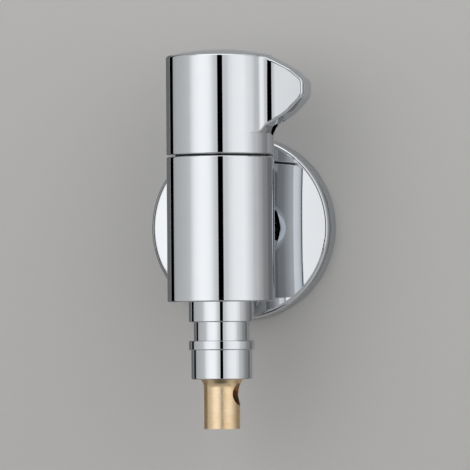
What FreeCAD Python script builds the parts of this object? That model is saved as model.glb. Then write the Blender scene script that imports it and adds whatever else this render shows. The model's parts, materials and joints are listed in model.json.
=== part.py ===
import FreeCAD, Part
import math
import os
import re

import Sketcher
from FreeCAD import Placement, Rotation, Vector

# Wall-mounted washing machine valve: an upright barrel on a wall inlet, a quarter-turn beaked handle
# over a ceramic disc cartridge, and below it a hose nipple whose spring-loaded stopper shuts the water
# off when the hose comes away. Millimetres. The origin is where the inlet axis meets the wall: +Z is up,
# -Y points at the user and +Y into the wall. The barrel's pieces are drawn about the crossing of the
# barrel axis and the inlet axis, and every finished one is set forward by axis_to_wall.

SIZES = {
    # Barrel and inlet leg, one brass casting
    "barrel_radius": 16.0,
    "barrel_wall": 5.0,
    "barrel_above": 20.6,
    "barrel_below": 22.4,
    "barrel_round": 0.4,
    "axis_to_wall": 32.0,
    "leg_radius": 12.5,
    "leg_to_wall": 5.0,
    "inlet_thread_radius": 10.478,
    "inlet_thread_past_wall": 14.0,
    "inlet_relief_width": 2.0,
    "inlet_relief_depth": 1.2,
    "inlet_chamfer": 1.0,
    "waterway_radius": 6.0,
    # Chamber that holds the cartridge, and the drilled ways down to the nozzle
    "cartridge_depth": 13.1,
    "cartridge_bore_radius": "=barrel_radius - barrel_wall",
    "cartridge_thread_height": 0.5,
    "cartridge_thread_radius": "=cartridge_bore_radius + cartridge_thread_height",
    "cartridge_thread_length": 4.0,
    "inlet_chamber_land": 0.4,
    "inlet_chamber_radius": "=disc_radius - seat_seal_wall - inlet_chamber_land",
    "inlet_chamber_drop": 6.5,
    "passage_radius": 2.3,
    "passage_inset": 0.1,
    "passage_circle": "=cartridge_bore_radius - passage_inset",
    "passage_angle": 52.0,
    "nozzle_chamber_depth": 12.9,
    # Wall flange
    "flange_radius": 27.8,
    "flange_depth": 8.6,
    "flange_crown": 0.7,
    "flange_sheet": 0.9,
    "flange_round": 1.6,
    "grip_ring_width": 2.0,
    "grip_ring_height": 2.4,
    "gasket_width": 3.2,
    "gasket_height": 1.6,
    # Cartridge
    "housing_flange_width": 1.0,
    "housing_flange_radius": "=cartridge_thread_radius + housing_flange_width",
    "housing_flange_height": 1.2,
    "housing_ring_cord": 1.6,
    "housing_barrel_radius": "=cartridge_bore_radius - housing_ring_cord",
    "housing_lift": 0.5,
    "hex_margin": 6.0,
    "hex_across_flats": "=2 * housing_flange_radius - hex_margin",
    "hex_height": 3.0,
    "housing_wall": 1.25,
    "disc_chamber_radius": "=housing_barrel_radius - housing_wall",
    "window_width": 7.0,
    "window_height": 1.9,
    "seat_seal_height": 2.5,
    "seat_seal_wall": 1.2,
    "disc_play": 0.15,
    "disc_radius": "=disc_chamber_radius - disc_play",
    "disc_height": 2.5,
    "port_radius": 1.9,
    "port_circle": 4.4,
    "lug_width": 3.0,
    "lug_reach": 0.9,
    "drive_width": 3.6,
    "drive_depth": 1.0,
    "foot_margin": 1.6,
    "foot_radius": "=disc_radius - foot_margin",
    "foot_height": 2.0,
    "thrust_washer_height": 0.6,
    "spindle_shoulder": 3.65,
    "spindle_radius": "=disc_chamber_radius - spindle_shoulder",
    "spindle_groove_depth": 1.1,
    "spindle_ring_cord": 1.1,
    "spindle_groove_margin": 1.0,
    "clip_height": 0.8,
    "clip_depth": 0.9,
    "clip_reach": 1.7,
    "clip_gap": 5.0,
    "spline_step": 0.5,
    "spline_radius": "=spindle_radius - spline_step",
    "spline_length": 8.5,
    "glide_ring_height": 3.0,
    # Handle
    "handle_gap": 0.5,
    "handle_rim": 29.4,
    "handle_crown": 2.1,
    "handle_wall": 2.4,
    "handle_roof": 4.5,
    "handle_edge_round": 0.8,
    "boss_wall": 2.5,
    "boss_radius": "=spline_radius + boss_wall",
    # The beak in plan, to the right of the axis: a shoulder that leaves the round, a root and a waist, each
    # a rounded corner of its outline. Reaches and widths are measured from the barrel axis.
    "root_half_width": 7.6,
    "root_gap": 0.4,
    "root_reach": "=sqrt(barrel_radius^2 - root_half_width^2) + root_gap",
    "root_round": 3.5,
    "shoulder_step": 2.5,
    "shoulder_rise": 0.09,
    "shoulder_half_width": "=root_half_width + shoulder_step",
    "shoulder_radius": "=barrel_radius + shoulder_rise",
    "shoulder_reach": "=sqrt(shoulder_radius^2 - shoulder_half_width^2)",
    "waist_step": 0.85,
    "waist_gap": 2.7,
    "waist_half_width": "=root_half_width - waist_step",
    "waist_reach": "=root_reach + waist_gap",
    "waist_round": 10.0,
    "tip_half_width": 5.95,
    "beak_reach": 27.2,
    "beak_taper": "=(waist_half_width - tip_half_width) / (beak_reach - waist_reach)",
    # Where the shoulder's line leaves the round, how long it is, and a rounding that uses half of it
    "shoulder_run": "=sqrt(shoulder_radius^2 - barrel_radius^2)",
    "leave_far_width": "=barrel_radius * shoulder_half_width + shoulder_run * shoulder_reach",
    "leave_half_width": "=barrel_radius * leave_far_width / shoulder_radius^2",
    "leave_far_reach": "=barrel_radius * shoulder_reach - shoulder_run * shoulder_half_width",
    "leave_reach": "=barrel_radius * leave_far_reach / shoulder_radius^2",
    "shoulder_side": "=sqrt(shoulder_step^2 + (root_reach - shoulder_reach)^2)",
    "shoulder_bend_across": "=(leave_half_width - shoulder_half_width) * shoulder_step",
    "shoulder_bend_along": "=(shoulder_reach - leave_reach) * (root_reach - shoulder_reach)",
    "shoulder_bend": "=(shoulder_bend_across + shoulder_bend_along) / (shoulder_run * shoulder_side)",
    "shoulder_round_most": "=shoulder_run * sqrt((1 + shoulder_bend) / (1 - shoulder_bend))",
    "shoulder_round_share": 0.5,
    "shoulder_round": "=shoulder_round_share * shoulder_round_most",
    # The beak from the side, with levels from the handle's bottom
    "beak_start_level": 6.0,
    "beak_heel_gap": 0.9,
    "beak_heel_level": 8.3,
    "beak_heel_round": 2.0,
    "beak_knee_inset": 4.7,
    "beak_knee_level": 12.0,
    "beak_knee_round": 12.0,
    "beak_sink": 0.1,
    "beak_nose_level": 21.8,
    "beak_nose_height": 4.7,
    "beak_nose_round": 3.4,
    "beak_brow_round": 2.4,
    "beak_bend_inset": 3.7,
    "beak_bend_level": 25.1,
    "beak_bend_round": 8.0,
    "beak_crest_round": 8.0,
    "set_screw_level": 8.1,
    "set_screw_radius": 2.0,
    "set_screw_length": 6.0,
    "set_screw_boss_radius": 3.1,
    "set_screw_key": 2.0,
    "set_screw_key_depth": 2.5,
    "set_screw_access_radius": 2.4,
    # Hose nipple
    "nozzle_flange_radius": 13.6,
    "nozzle_flange_height": 1.6,
    "nozzle_thread_radius": 12.0,
    "nozzle_insert": 10.0,
    "nozzle_undercut": 1.8,
    "collar_radius": 9.75,
    "collar_height": 6.0,
    "groove_radius": 8.3,
    "groove_height": 5.5,
    "ring_height": 2.8,
    "nose_radius": 9.1,
    "nose_height": 8.7,
    "nozzle_round": 0.3,
    "stopper_chamber_radius": 8.2,
    "retainer_radius": 9.55,
    "retainer_height": 1.0,
    "retaining_ring_height": 0.8,
    "retaining_ring_bite": 0.6,
    "retaining_ring_width": 1.6,
    "retaining_ring_gap": 4.0,
    "retainer_centre_radius": 3.0,
    "retainer_hole_radius": 1.3,
    "retainer_hole_circle": 7.1,
    # Stopper that shuts when the hose is off
    "stem_radius": 5.35,
    "stem_bore_radius": 3.9,
    "stem_below_nose": 14.7,
    "stem_flare": 1.6,
    "stem_flare_round": 2.5,
    "stem_guide_radius": 6.3,
    "stem_head_height": 3.1,
    "stem_window_height": 3.0,
    "stem_window_width": 5.0,
    "side_hole_radius": 3.45,
    "side_hole_below_nose": 4.4,
    "seal_radius": 7.4,
    "seal_height": 2.0,
    "stopper_washer_radius": 6.0,
    "stopper_washer_height": 0.8,
    "stopper_screw_radius": 1.5,
    "stopper_screw_length": 6.0,
    "stopper_screw_head_radius": 2.7,
    "stopper_screw_head_height": 1.6,
    "stopper_screw_slot": 0.7,
    "spring_radius": 4.6,
    "spring_wire": 0.75,
    "spring_turns": 4.0,
    # Clearances: turning or sliding fit, loose moving faces, and a seated piece
    "running_fit": 0.05,
    "loose_fit": 0.3,
    "seated_fit": 0.05,
}

PASSAGES = 3
RETAINER_HOLES = 8
SERRATION_PRISMS = 3
HEX_SIDES = 6
PAST = 1.0

UP = Rotation()
TO_WALL = Rotation(Vector(1, 0, 0), -90)
TO_RIGHT = Rotation(Vector(0, 1, 0), 90)
DOME = "dome"

doc = FreeCAD.newDocument("washing_machine_valve")
sheet = doc.addObject("Spreadsheet::Sheet", "Sizes")
for row, (alias, size) in enumerate(SIZES.items(), start=1):
    sheet.set(f"A{row}", alias)
    sheet.set(f"B{row}", str(size))
    sheet.setAlias(f"B{row}", alias)
doc.recompute()


def formula(text):
    """Points each size named in text at its cell of the sheet."""
    return re.sub(r"[a-z][a-z_]+", lambda name: f"Sizes.{name[0]}" if name[0] in SIZES else name[0], text)


def number(text):
    """The value of an expression of named sizes, read from the sheet."""
    def value(name):
        return f"({getattr(sheet, name[0])})" if name[0] in SIZES else name[0]

    return FreeCAD.Units.Quantity(re.sub(r"[a-z][a-z_]+", value, text)).Value


def bind(piece, **properties):
    for name, text in properties.items():
        piece.setExpression(name, formula(text))


def place(piece, x="0", y="0", z="0", along=UP):
    piece.Placement = Placement(Vector(), along)
    for axis, text in (("x", x), ("y", y), ("z", z)):
        piece.setExpression(f"Placement.Base.{axis}", formula(text))
    return piece


def cylinder(name, radius, length, x="0", y="0", z="0", along=UP):
    piece = doc.addObject("Part::Cylinder", name)
    bind(piece, Radius=radius, Height=length)
    return place(piece, x, y, z, along)


def block(name, length, width, height, x="0", y="0", z="0"):
    """A box centred on x and y, standing on z."""
    piece = doc.addObject("Part::Box", name)
    bind(piece, Length=length, Width=width, Height=height)
    return place(piece, f"{x} - ({length}) / 2", f"{y} - ({width}) / 2", z)


def hexagon(name, across_flats, height, x="0", z="0", along=UP):
    piece = doc.addObject("Part::Prism", name)
    piece.Polygon = HEX_SIDES
    bind(piece, Circumradius=f"({across_flats}) / sqrt(3)", Height=height)
    return place(piece, x, "0", z, along)


def ring_of_cord(name, inner, outer, z):
    """An O-ring that fills the gap between two radii."""
    piece = doc.addObject("Part::Torus", name)
    bind(piece, Radius1=f"(({inner}) + ({outer})) / 2", Radius2=f"(({outer}) - ({inner})) / 2")
    return place(piece, z=z)


def fuse(name, *pieces):
    result = doc.addObject("Part::MultiFuse", name)
    result.Shapes = list(pieces)
    return result


def cut(name, base, *tools):
    result = doc.addObject("Part::Cut", name)
    result.Base = base
    result.Tool = tools[0] if len(tools) == 1 else fuse(name + "_tools", *tools)
    return result


def common(name, *pieces):
    result = doc.addObject("Part::MultiCommon", name)
    result.Shapes = list(pieces)
    return result


def sketch_on(body, role, name):
    sketch = body.newObject("Sketcher::SketchObject", name)
    plane = next(feature for feature in body.Origin.OriginFeatures if feature.Role == role)
    sketch.AttachmentSupport = (plane, [""])
    sketch.MapMode = "FlatFace"
    return sketch


def hold_corner(sketch, edge, end, x, y):
    """Fixes one point of a sketch at a place that is bound to the sheet."""
    if x == "0":
        sketch.addConstraint(Sketcher.Constraint("PointOnObject", edge, end, -2))
    else:
        hold_size(sketch, x, "DistanceX", -1, 1, edge, end)
    hold_size(sketch, y, "DistanceY", -1, 1, edge, end)


def hold_size(sketch, text, kind, *where):
    index = sketch.addConstraint(Sketcher.Constraint(kind, *where, number(text)))
    sketch.setExpression(f"Constraints[{index}]", formula(text))


def arc_between(start, end, centre):
    """The short arc between two points about a centre, and whether it runs from end to start."""
    angles = [math.atan2(point.y - centre.y, point.x - centre.x) for point in (start, end)]
    sweep = (angles[1] - angles[0]) % (2 * math.pi)
    turned_back = sweep > math.pi
    if turned_back:
        angles.reverse()
        sweep = 2 * math.pi - sweep
    circle = Part.Circle(centre, Vector(0, 0, 1), (start - centre).Length)
    return Part.ArcOfCircle(circle, angles[0], angles[0] + sweep), turned_back


def draw_edge(sketch, edge, turned_back=False):
    """Adds one edge. Returns its number and which of its ends is its start and which its end."""
    index = sketch.addGeometry(edge, False)
    return (index, 2, 1) if turned_back else (index, 1, 2)


def draw_outline(sketch, outline):
    """Draws a closed outline of corners (x, y) or (x, y, rounding), counter-clockwise.

    DOME between two corners is an arc centred on the vertical axis.
    """
    corners = [item for item in outline if item != DOME]
    domed = [
        len([item for item in outline[:position] if item != DOME]) - 1
        for position, item in enumerate(outline) if item == DOME
    ]
    points = [Vector(number(corner[0]), number(corner[1]), 0) for corner in corners]
    arrivals = list(points)
    departures = list(points)
    centres = {}
    for index, corner in enumerate(corners):
        if len(corner) > 2:
            back = (points[index - 1] - points[index]).normalize()
            ahead = (points[(index + 1) % len(points)] - points[index]).normalize()
            half = back.getAngle(ahead) / 2
            radius = number(corner[2])
            arrivals[index] = points[index] + back * (radius / math.tan(half))
            departures[index] = points[index] + ahead * (radius / math.tan(half))
            centres[index] = points[index] + (back + ahead).normalize() * (radius / math.sin(half))
    sides = []
    for index in range(len(corners)):
        start = departures[index]
        end = arrivals[(index + 1) % len(corners)]
        if index in domed:
            middle = (end.x**2 + end.y**2 - start.x**2 - start.y**2) / (2 * (end.y - start.y))
            side = draw_edge(sketch, *arc_between(start, end, Vector(0, middle, 0)))
            sketch.addConstraint(Sketcher.Constraint("PointOnObject", side[0], 3, -2))
        else:
            side = draw_edge(sketch, Part.LineSegment(start, end))
        sides.append(side)
    for index, corner in enumerate(corners):
        before, _, before_end = sides[index - 1]
        after, after_start, _ = sides[index]
        if index in centres:
            rounding = arc_between(arrivals[index], departures[index], centres[index])
            arc, arc_start, arc_end = draw_edge(sketch, *rounding)
            tip = sketch.addGeometry(Part.Point(points[index]), True)
            for side in (before, after):
                sketch.addConstraint(Sketcher.Constraint("PointOnObject", tip, 1, side))
            sketch.addConstraint(Sketcher.Constraint("Tangent", before, before_end, arc, arc_start))
            sketch.addConstraint(Sketcher.Constraint("Tangent", arc, arc_end, after, after_start))
            hold_size(sketch, corner[2], "Radius", arc)
            hold_corner(sketch, tip, 1, corner[0], corner[1])
        else:
            sketch.addConstraint(Sketcher.Constraint("Coincident", before, before_end, after, after_start))
            hold_corner(sketch, after, after_start, corner[0], corner[1])


def turned(name, outline):
    """A turned piece, from its half section listed as (radius, level) or (radius, level, rounding)."""
    body = doc.addObject("PartDesign::Body", name)
    sketch = sketch_on(body, "XZ_Plane", name + "_section")
    draw_outline(sketch, outline)
    turning = body.newObject("PartDesign::Revolution", name + "_turning")
    turning.Profile = sketch
    turning.ReferenceAxis = (sketch, ["V_Axis"])
    turning.Angle = 360
    return body


def ring(name, inner, outer, bottom, height):
    """A flat ring or washer of square section."""
    top = f"{bottom} + {height}"
    return turned(name, [(inner, bottom), (outer, bottom), (outer, top), (inner, top)])


# Levels on the barrel axis, from the inlet axis
barrel_top = "barrel_above"
barrel_bottom = "-barrel_below"
seat_level = "(barrel_above - cartridge_depth)"
fixed_disc_level = f"({seat_level} + seat_seal_height)"
turning_disc_level = f"({fixed_disc_level} + disc_height)"
foot_level = f"({turning_disc_level} + disc_height)"
thrust_level = f"({foot_level} + foot_height)"
shoulder_level = f"({thrust_level} + thrust_washer_height)"
housing_thread_level = "(barrel_above - cartridge_thread_length)"
hex_level = "(barrel_above + housing_flange_height)"
housing_top = f"({hex_level} + hex_height)"
clip_level = f"({housing_top} + running_fit)"
clip_top = f"({clip_level} + clip_height)"
spline_level = f"({clip_top} + loose_fit)"
boss_level = f"({spline_level} + loose_fit)"
handle_bottom = "(barrel_above + handle_gap)"
handle_rim = f"({handle_bottom} + handle_rim)"
handle_ceiling = f"({handle_rim} - handle_roof)"
handle_bore = "(barrel_radius - handle_wall)"
screw_level = f"({handle_bottom} + set_screw_level)"

# Levels below the inlet axis
nozzle_roof = "(nozzle_chamber_depth - barrel_below)"
nozzle_top = "(nozzle_insert - barrel_below)"
recess_level = "(nozzle_flange_height - barrel_below)"
undercut_level = f"({recess_level} + nozzle_undercut)"
collar_level = "(-barrel_below - collar_height)"
groove_level = f"({collar_level} - groove_height)"
ring_level = f"({groove_level} - ring_height)"
nose_level = f"({ring_level} - nose_height)"
ring_top = f"({nozzle_top} - retaining_ring_height)"
retainer_top = f"({ring_top} - retaining_ring_height)"
retainer_level = f"({retainer_top} - retainer_height)"
stopper_seat = collar_level
washer_level = f"({stopper_seat} + seal_height)"
washer_top = f"({washer_level} + stopper_washer_height)"
stem_bottom = f"({nose_level} - stem_below_nose)"


def valve_body():
    barrel = turned("valve_body_barrel", [
        ("0", barrel_bottom),
        ("barrel_radius", barrel_bottom, "barrel_round"),
        ("barrel_radius", barrel_top, "barrel_round"),
        ("0", barrel_top),
    ])
    leg_end = "(axis_to_wall - leg_to_wall)"
    thread_start = f"({leg_end} + inlet_relief_width)"
    shank_end = "(axis_to_wall + inlet_thread_past_wall)"
    relief = "(inlet_thread_radius - inlet_relief_depth)"
    leg = turned("valve_body_leg", [
        ("0", "0"),
        ("leg_radius", "0"),
        ("leg_radius", leg_end, "barrel_round"),
        (relief, leg_end),
        (relief, thread_start),
        ("inlet_thread_radius", thread_start),
        ("inlet_thread_radius", f"{shank_end} - inlet_chamfer"),
        ("inlet_thread_radius - inlet_chamfer", shank_end),
        ("0", shank_end),
    ])
    place(leg, along=TO_WALL)
    cartridge_bore = turned("valve_body_cartridge_bore", [
        ("0", seat_level),
        ("cartridge_bore_radius", seat_level),
        ("cartridge_bore_radius", housing_thread_level),
        ("cartridge_thread_radius", housing_thread_level),
        ("cartridge_thread_radius", f"{barrel_top} + {PAST}"),
        ("0", f"{barrel_top} + {PAST}"),
    ])
    nozzle_bore = turned("valve_body_nozzle_bore", [
        ("0", f"{barrel_bottom} - {PAST}"),
        ("nozzle_flange_radius + seated_fit", f"{barrel_bottom} - {PAST}"),
        ("nozzle_flange_radius + seated_fit", recess_level),
        ("nozzle_thread_radius", recess_level),
        ("nozzle_thread_radius", nozzle_roof),
        ("0", nozzle_roof),
    ])
    inlet_chamber = cylinder("valve_body_inlet_chamber", "inlet_chamber_radius",
                             f"{seat_level} + inlet_chamber_drop", z="-inlet_chamber_drop")
    waterway = cylinder("valve_body_waterway", "waterway_radius", f"{shank_end} + {PAST}", along=TO_WALL)
    passages = []
    for count in range(PASSAGES):
        turn = f"(passage_angle * {count - (PASSAGES - 1) // 2})"
        passages.append(cylinder(
            f"valve_body_passage_{count + 1}",
            "passage_radius",
            f"{seat_level} - {nozzle_roof}",
            x=f"passage_circle * sin({turn})",
            y=f"-passage_circle * cos({turn})",
            z=nozzle_roof,
        ))
    blank = fuse("valve_body_blank", barrel, leg)
    return cut("valve_body", blank, cartridge_bore, nozzle_bore, inlet_chamber, waterway, *passages)


def wall_flange():
    """A spun and plated cover, open at the back. Its levels run from the wall towards the user as -Y."""
    hole = "(leg_radius + seated_fit)"
    rim = "(-flange_depth + flange_crown)"
    return turned("wall_flange", [
        (hole, "-flange_depth"),
        DOME,
        ("flange_radius", rim, "flange_round"),
        ("flange_radius", "0"),
        ("flange_radius - flange_sheet", "0"),
        ("flange_radius - flange_sheet", f"{rim} + flange_sheet"),
        DOME,
        (hole, "-flange_depth + flange_sheet"),
    ])


def flange_grip_ring():
    sag = "flange_crown * ((leg_radius + grip_ring_width) / flange_radius)^2"
    level = f"(-flange_depth + flange_sheet + {sag})"
    return ring("flange_grip_ring", "leg_radius", "leg_radius + grip_ring_width", level, "grip_ring_height")


def flange_gasket():
    outer = "(flange_radius - flange_sheet)"
    return ring("flange_gasket", f"{outer} - gasket_width", outer, "-gasket_height", "gasket_height")


def cartridge_housing():
    low = f"({seat_level} + housing_lift)"
    shank = turned("cartridge_housing_shank", [
        ("0", low),
        ("housing_barrel_radius", low),
        ("housing_barrel_radius", housing_thread_level),
        ("cartridge_thread_radius - seated_fit", housing_thread_level),
        ("cartridge_thread_radius - seated_fit", barrel_top),
        ("housing_flange_radius", barrel_top),
        ("housing_flange_radius", hex_level),
        ("0", hex_level),
    ])
    key_head = hexagon("cartridge_housing_hex", "hex_across_flats", "hex_height", z=hex_level)
    bore = turned("cartridge_housing_bore", [
        ("0", f"{low} - {PAST}"),
        ("disc_chamber_radius", f"{low} - {PAST}"),
        ("disc_chamber_radius", shoulder_level),
        ("spindle_radius + running_fit", shoulder_level),
        ("spindle_radius + running_fit", f"{housing_top} + {PAST}"),
        ("0", f"{housing_top} + {PAST}"),
    ])
    across = f"housing_barrel_radius * 2 + {PAST}"
    window_level = f"({turning_disc_level} + (disc_height - window_height) / 2)"
    windows = [
        block("cartridge_housing_window_x", across, "window_width", "window_height", z=window_level),
        block("cartridge_housing_window_y", "window_width", across, "window_height", z=window_level),
    ]
    lug_slot = block(
        "cartridge_housing_lug_slot", "lug_width + 2 * seated_fit", across,
        f"{turning_disc_level} - {low} + {PAST}", z=f"{low} - {PAST}",
    )
    blank = fuse("cartridge_housing_blank", shank, key_head)
    return cut("cartridge_housing", blank, bore, lug_slot, *windows)


def housing_o_ring():
    half_cord = "(cartridge_bore_radius - housing_barrel_radius) / 2"
    level = f"{housing_thread_level} - {half_cord}"
    return ring_of_cord("housing_o_ring", "housing_barrel_radius", "cartridge_bore_radius", level)


def seat_seal():
    return ring("seat_seal", "disc_radius - seat_seal_wall", "disc_radius", seat_level, "seat_seal_height")


def fixed_disc():
    """The lower ceramic disc: two round ports, left and right, and two lugs that stop it turning."""
    disc = cylinder("fixed_disc_plate", "disc_radius", "disc_height", z=fixed_disc_level)
    lugs = block("fixed_disc_lugs", "lug_width", "2 * (disc_radius + lug_reach)", "disc_height",
                 z=fixed_disc_level)
    ports = [
        cylinder(f"fixed_disc_port_{side}", "port_radius", f"disc_height + {2 * PAST}",
                 x=f"{sign}port_circle", z=f"{fixed_disc_level} - {PAST}")
        for side, sign in (("right", ""), ("left", "-"))
    ]
    return cut("fixed_disc", fuse("fixed_disc_blank", disc, lugs), *ports)


def rotating_disc():
    """The upper ceramic disc: two ports open to its rim, front and back while shut, and a drive slot."""
    outer = "(disc_chamber_radius - loose_fit)"
    disc = cylinder("rotating_disc_plate", outer, "disc_height", z=turning_disc_level)
    tools = [block(
        "rotating_disc_drive_slot", f"2 * {outer} + {PAST}", "drive_width + 2 * seated_fit",
        f"drive_depth + {PAST}",
        z=f"{foot_level} - drive_depth",
    )]
    for side, sign in (("front", "-"), ("back", "")):
        level = f"{turning_disc_level} - {PAST}"
        height = f"disc_height + {2 * PAST}"
        tools.append(cylinder(
            f"rotating_disc_port_{side}", "port_radius", height, y=f"{sign}port_circle", z=level,
        ))
        tools.append(block(
            f"rotating_disc_mouth_{side}", "2 * port_radius", outer, height,
            y=f"{sign}(port_circle + {outer} / 2)", z=level,
        ))
    return cut("rotating_disc", disc, *tools)


def serrated(name, radius, level, height):
    """A serrated shaft: hexagons turned evenly against each other."""
    prisms = []
    for count in range(SERRATION_PRISMS):
        prism = hexagon(f"{name}_{count + 1}", f"({radius}) * sqrt(3)", height)
        turn = Rotation(Vector(0, 0, 1), 360 / HEX_SIDES / SERRATION_PRISMS * count)
        prisms.append(place(prism, z=level, along=turn))
    return prisms


def spindle():
    groove_width = "(spindle_ring_cord + 4 * running_fit)"
    groove_radius = "spindle_radius - spindle_groove_depth"
    lower_groove = f"({shoulder_level} + spindle_groove_margin)"
    upper_groove = f"({housing_top} - spindle_groove_margin - {groove_width})"
    outline = [("0", foot_level), ("foot_radius", foot_level), ("foot_radius", thrust_level)]
    outline.append(("spindle_radius", thrust_level))
    for level, width, radius in (
        (lower_groove, groove_width, groove_radius),
        (upper_groove, groove_width, groove_radius),
        (clip_level, "clip_height", "spindle_radius - clip_depth"),
    ):
        outline.append(("spindle_radius", level))
        outline.append((radius, level))
        outline.append((radius, f"{level} + {width}"))
        outline.append(("spindle_radius", f"{level} + {width}"))
    outline += [("spindle_radius", spline_level), ("0", spline_level)]
    shaft = turned("spindle_shaft", outline)
    tongue = block("spindle_tongue", "2 * foot_radius - 2", "drive_width", f"drive_depth + {PAST}",
                   z=f"{foot_level} - drive_depth")
    spline = serrated("spindle_serration", "spline_radius", spline_level, "spline_length")
    return fuse("spindle", shaft, tongue, *spline)


def spindle_o_ring(name, level):
    inner = "(spindle_radius - spindle_ring_cord)"
    return ring_of_cord(name, inner, "spindle_radius", level)


def spindle_o_ring_lower():
    groove = f"{shoulder_level} + spindle_groove_margin"
    return spindle_o_ring("spindle_o_ring_lower", f"{groove} + spindle_ring_cord / 2 + 2 * running_fit")


def spindle_o_ring_upper():
    return spindle_o_ring("spindle_o_ring_upper",
                          f"{housing_top} - spindle_groove_margin - spindle_ring_cord / 2 - 2 * running_fit")


def open_ring(name, inner, outer, level, height, gap):
    """A flat ring with a gap on its left."""
    whole = ring(name + "_ring", inner, outer, level, height)
    opening = block(name + "_gap", outer, gap, f"{height} + {2 * PAST}", x=f"-({outer}) / 2 - {PAST}",
                    z=f"{level} - {PAST}")
    return cut(name, whole, opening)


def spindle_clip():
    return open_ring("spindle_clip", "(spindle_radius - clip_depth)", "(spindle_radius + clip_reach)",
                     clip_level, "clip_height", "clip_gap")


def thrust_washer():
    return ring("thrust_washer", "spindle_radius + loose_fit", "disc_chamber_radius - loose_fit",
                thrust_level, "thrust_washer_height")


def glide_ring():
    """The black guide on which the handle's skirt turns. It snaps over the housing's flange."""
    return turned("glide_ring", [
        ("housing_flange_radius + seated_fit", barrel_top),
        (f"{handle_bore} - loose_fit", barrel_top),
        (f"{handle_bore} - loose_fit", f"{barrel_top} + glide_ring_height"),
        ("hex_across_flats / sqrt(3) + seated_fit", f"{barrel_top} + glide_ring_height"),
        ("hex_across_flats / sqrt(3) + seated_fit", hex_level),
        ("housing_flange_radius + seated_fit", hex_level),
    ])


def handle_round():
    """The round cap of the handle, domed on top."""
    return turned("handle_round", [
        ("0", handle_bottom),
        ("barrel_radius", handle_bottom, "barrel_round"),
        ("barrel_radius", handle_rim, "handle_edge_round"),
        DOME,
        ("0", f"{handle_rim} + handle_crown"),
    ])


def beak_plan():
    """The handle seen from above: a round and a beak that leaves it in a shoulder and tapers from a waist."""
    body = doc.addObject("PartDesign::Body", "beak_plan")
    outline = sketch_on(body, "XY_Plane", "beak_plan_outline")
    flank = [
        ("leave_half_width", "leave_reach"),
        ("shoulder_half_width", "shoulder_reach", "shoulder_round"),
        ("root_half_width", "root_reach", "root_round"),
        ("waist_half_width", "waist_reach", "waist_round"),
        (f"(tip_half_width - beak_taper * {PAST})", f"(beak_reach + {PAST})"),
    ]
    other_flank = [(f"-{corner[0]}", *corner[1:]) for corner in reversed(flank)]
    draw_outline(outline, [*flank, *other_flank, DOME, ("0", "-barrel_radius"), DOME])
    pad = body.newObject("PartDesign::Pad", "beak_plan_pad")
    pad.Profile = outline
    bind(pad, Length="handle_rim")
    return place(body, z=handle_bottom, along=Rotation(Vector(0, 0, 1), -90))


def beak_sweep():
    """The beak's side view turned about the barrel axis, so that its top, nose and underside are round."""
    sunk = "(barrel_radius - beak_sink)"
    nose = f"({handle_bottom} + beak_nose_level)"
    body = turned("beak_sweep", [
        ("0", f"{handle_bottom} + beak_start_level"),
        (sunk, f"{handle_bottom} + beak_start_level"),
        ("barrel_radius + beak_heel_gap", f"{handle_bottom} + beak_heel_level", "beak_heel_round"),
        ("beak_reach - beak_knee_inset", f"{handle_bottom} + beak_knee_level", "beak_knee_round"),
        ("beak_reach", f"{nose} - beak_nose_height", "beak_nose_round"),
        ("beak_reach", nose, "beak_brow_round"),
        ("beak_reach - beak_bend_inset", f"{handle_bottom} + beak_bend_level", "beak_bend_round"),
        ("barrel_radius", handle_rim, "beak_crest_round"),
        ("0", handle_rim),
    ])
    return place(body, along=Rotation(Vector(0, 0, 1), 180))


def handle_beak():
    """The beak from where its shoulders leave the round, with its flank edges rounded."""
    reach = f"(beak_reach + {PAST})"
    room = block("beak_room", reach, f"2 * {reach}", f"handle_rim + {2 * PAST}",
                 x=f"leave_reach + {reach} / 2", z=f"{handle_bottom} - {PAST}")
    blank = common("beak_blank", beak_plan(), beak_sweep(), room)
    doc.recompute()
    flanks = [face for face in blank.Shape.Faces if is_flank(face)]
    start = number("leave_reach")
    radius = number("handle_edge_round")
    rounded = doc.addObject("Part::Fillet", "handle_beak")
    rounded.Base = blank
    rounded.Edges = [
        (count, radius, radius) for count, edge in enumerate(blank.Shape.Edges, start=1)
        if sum(any(edge.isSame(side) for side in face.Edges) for face in flanks) == 1
        and edge.BoundBox.XMax > start + 1e-4
    ]
    return rounded


def is_flank(face):
    """Whether a face of the beak is part of a flank: upright, and not the cut or about the barrel axis."""
    surface = face.Surface
    if isinstance(surface, Part.Cylinder):
        return abs(surface.Axis.z) > 0.999 and math.hypot(surface.Center.x, surface.Center.y) > 1e-3
    return isinstance(surface, Part.Plane) and abs(surface.Axis.y) > 0.5


def handle():
    cavity = cylinder("handle_cavity", handle_bore, f"{handle_ceiling} - {handle_bottom} + {PAST}",
                      z=f"{handle_bottom} - {PAST}")
    hollow = cut("handle_hollow", fuse("handle_blank", handle_round(), handle_beak()), cavity)
    boss = cylinder("handle_boss", "boss_radius", f"{handle_ceiling} - {boss_level} + {PAST}", z=boss_level)
    screw_boss = cylinder("handle_screw_boss", "set_screw_boss_radius", f"{handle_bore} + {PAST}",
                          z=screw_level, along=TO_RIGHT)
    spline = serrated("handle_serration", "spline_radius + seated_fit", f"{boss_level} - {PAST}",
                      f"{spline_level} - {boss_level} + spline_length + {2 * PAST}")
    tapped_hole = cylinder("handle_tapped_hole", "set_screw_radius", "beak_reach",
                           z=screw_level, along=TO_RIGHT)
    access = cylinder("handle_screw_access", "set_screw_access_radius", "beak_reach",
                      x=f"{handle_bore} - {PAST}", z=screw_level, along=TO_RIGHT)
    return cut("handle", fuse("handle_core", hollow, boss, screw_boss), tapped_hole, access, *spline)


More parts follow.
